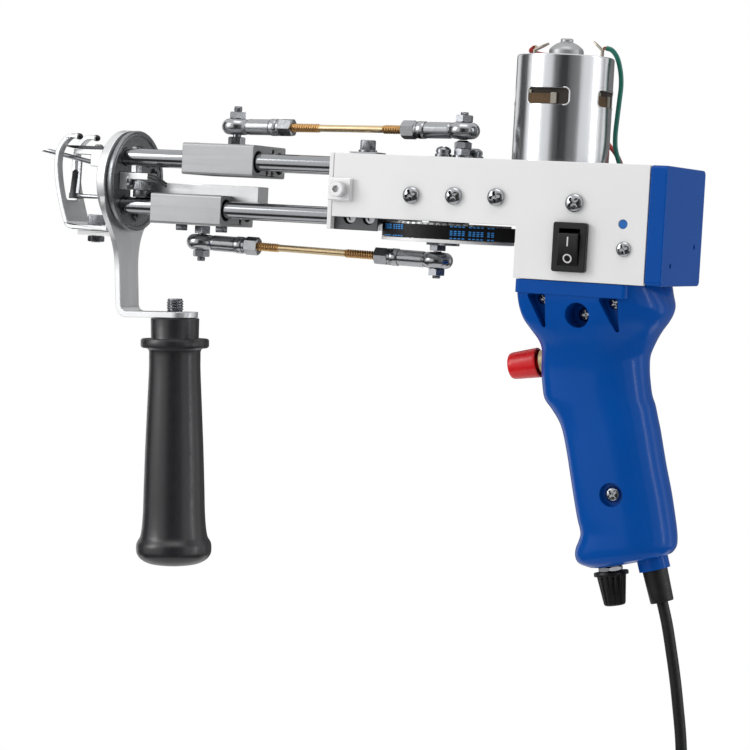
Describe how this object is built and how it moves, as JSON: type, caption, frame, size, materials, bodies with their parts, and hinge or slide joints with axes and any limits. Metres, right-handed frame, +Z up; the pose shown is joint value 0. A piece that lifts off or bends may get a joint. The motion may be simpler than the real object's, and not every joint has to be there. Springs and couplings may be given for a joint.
{
  "type": "handheld tufting machine",
  "caption": "Handheld tufting machine with a pistol grip, side handle, upright motor, belt-driven crank, sliding needle and hook carriages on guide shafts, and a forked presser foot.",
  "frame": {"origin": "middle of the pistol grip, where the hand holds the machine", "axes": "+X from the needle towards the rear cap, +Y away from the side with the rocker switch, +Z up"},
  "size_m": [0.3448, 0.0642, 0.4636],
  "materials": {
    "white_aluminium": "satin silver-white anodised",
    "dark_aluminium": "machined, in shade",
    "satin_aluminium": "satin",
    "plain_steel": "plain, turned",
    "blue_plastic": "gloss",
    "polished_steel": "polished",
    "dark_steel": "black oxide",
    "black_rubber": "matt",
    "brass": "bright",
    "red_plastic": "gloss",
    "black_plastic": "satin",
    "board_green": "satin",
    "green_wire": "satin",
    "red_wire": "satin"
  },
  "bodies": {
    "machine_frame": {"side_plate_near": "white_aluminium", "side_plate_far": "white_aluminium", "front_bulkhead": "white_aluminium", "shaft_clamp_block": "dark_aluminium", "base_plate": "satin_aluminium", "corner_block_near": "plain_steel", "rear_cap": "blue_plastic", "upper_shaft_near": "polished_steel", "upper_shaft_far": "polished_steel", "lower_shaft_near": "polished_steel", "lower_shaft_far": "polished_steel", "front_ring": "dark_aluminium", "front_plate": "white_aluminium", "ring_block": "white_aluminium", "presser_foot": "white_aluminium", "foot_bracket": "white_aluminium", "foot_bolt": "dark_steel", "side_handle": "black_rubber", "side_handle_stud": "plain_steel", "motor_deck": "satin_aluminium", "motor_can": "polished_steel", "timing_belt": "black_rubber", "crank_bearing_block": "satin_aluminium", "crank_bearing_top": "plain_steel", "grip_shell_near": "blue_plastic", "grip_shell_far": "blue_plastic", "trigger_bush": "brass", "switch_housing": "black_plastic", "speed_dial_body": "plain_steel", "controller_board": "board_green", "cord_sleeve": "black_rubber", "cord_stretch": "black_rubber", "cord_hank": "black_rubber", "dc_socket": "black_plastic", "wire_green": "green_wire", "wire_red": "red_wire"},
    "crank": {"crankshaft": "plain_steel", "driven_pulley": "white_aluminium", "bottom_crank": "plain_steel"},
    "motor_rotor": {"motor_pulley": "satin_aluminium"},
    "needle_slider": {"needle_carriage": "satin_aluminium", "needle_bar": "white_aluminium", "needle": "polished_steel", "needle_blade": "dark_steel", "top_ball_front": "plain_steel"},
    "hook_slider": {"hook_carriage": "satin_aluminium", "hook_bar": "white_aluminium", "hook": "dark_steel", "bottom_ball_front": "plain_steel"},
    "top_rod": {"top_rod_front_end": "polished_steel", "top_rod_bar": "brass", "top_rod_rear_end": "polished_steel", "top_ball_rear": "plain_steel"},
    "bottom_rod": {"bottom_rod_front_end": "polished_steel", "bottom_rod_bar": "brass", "bottom_rod_rear_end": "polished_steel", "bottom_ball_rear": "plain_steel"},
    "trigger": {"trigger_button": "red_plastic"},
    "rocker": {"switch_rocker": "black_plastic"},
    "speed_control": {"speed_knob": "black_plastic"}
  },
  "joints": [
    {"name": "crank_spin", "type": "hinge", "parent": "machine_frame", "child": "crank", "pos_m": [-0.0808, 0, 0.092], "axis": [0, 0, 1], "continuous": true},
    {"name": "motor_spin", "type": "hinge", "parent": "machine_frame", "child": "motor_rotor", "pos_m": [-0.0298, 0, 0.08], "axis": [0, 0, 1], "continuous": true},
    {"name": "needle_slide", "type": "slide", "parent": "machine_frame", "child": "needle_slider", "axis": [1, 0, 0], "range_m": [-0.0147, 0.0012]},
    {"name": "hook_slide", "type": "slide", "parent": "machine_frame", "child": "hook_slider", "axis": [1, 0, 0], "range_m": [-0.0014, 0.0145]},
    {"name": "top_rod_swing", "type": "hinge", "parent": "needle_slider", "child": "top_rod", "pos_m": [-0.1902, 0, 0.1234], "axis": [0, 0, 1], "range_deg": [-1.75, 6.15]},
    {"name": "bottom_rod_swing", "type": "hinge", "parent": "hook_slider", "child": "bottom_rod", "pos_m": [-0.2062, 0, 0.0689], "axis": [0, 0, 1], "range_deg": [-6, 1.7]},
    {"name": "trigger_press", "type": "slide", "parent": "machine_frame", "child": "trigger", "axis": [0.9801, 0, 0.1987], "range_m": [0, 0.0016], "stiffness_N_per_m": 500, "springref_m": -0.003},
    {"name": "rocker_tilt", "type": "hinge", "parent": "machine_frame", "child": "rocker", "pos_m": [-0.0124, -0.0226, 0.0764], "axis": [1, 0, 0], "range_deg": [-14.9, 0]},
    {"name": "speed_turn", "type": "hinge", "parent": "machine_frame", "child": "speed_control", "pos_m": [0.0041, 0, -0.0605], "axis": [-0.1889, 0, 0.982], "range_deg": [0, 280]}
  ],
  "couplings": [
    {"joint": "motor_spin", "follows": "crank_spin", "ratio": 4}
  ]
}
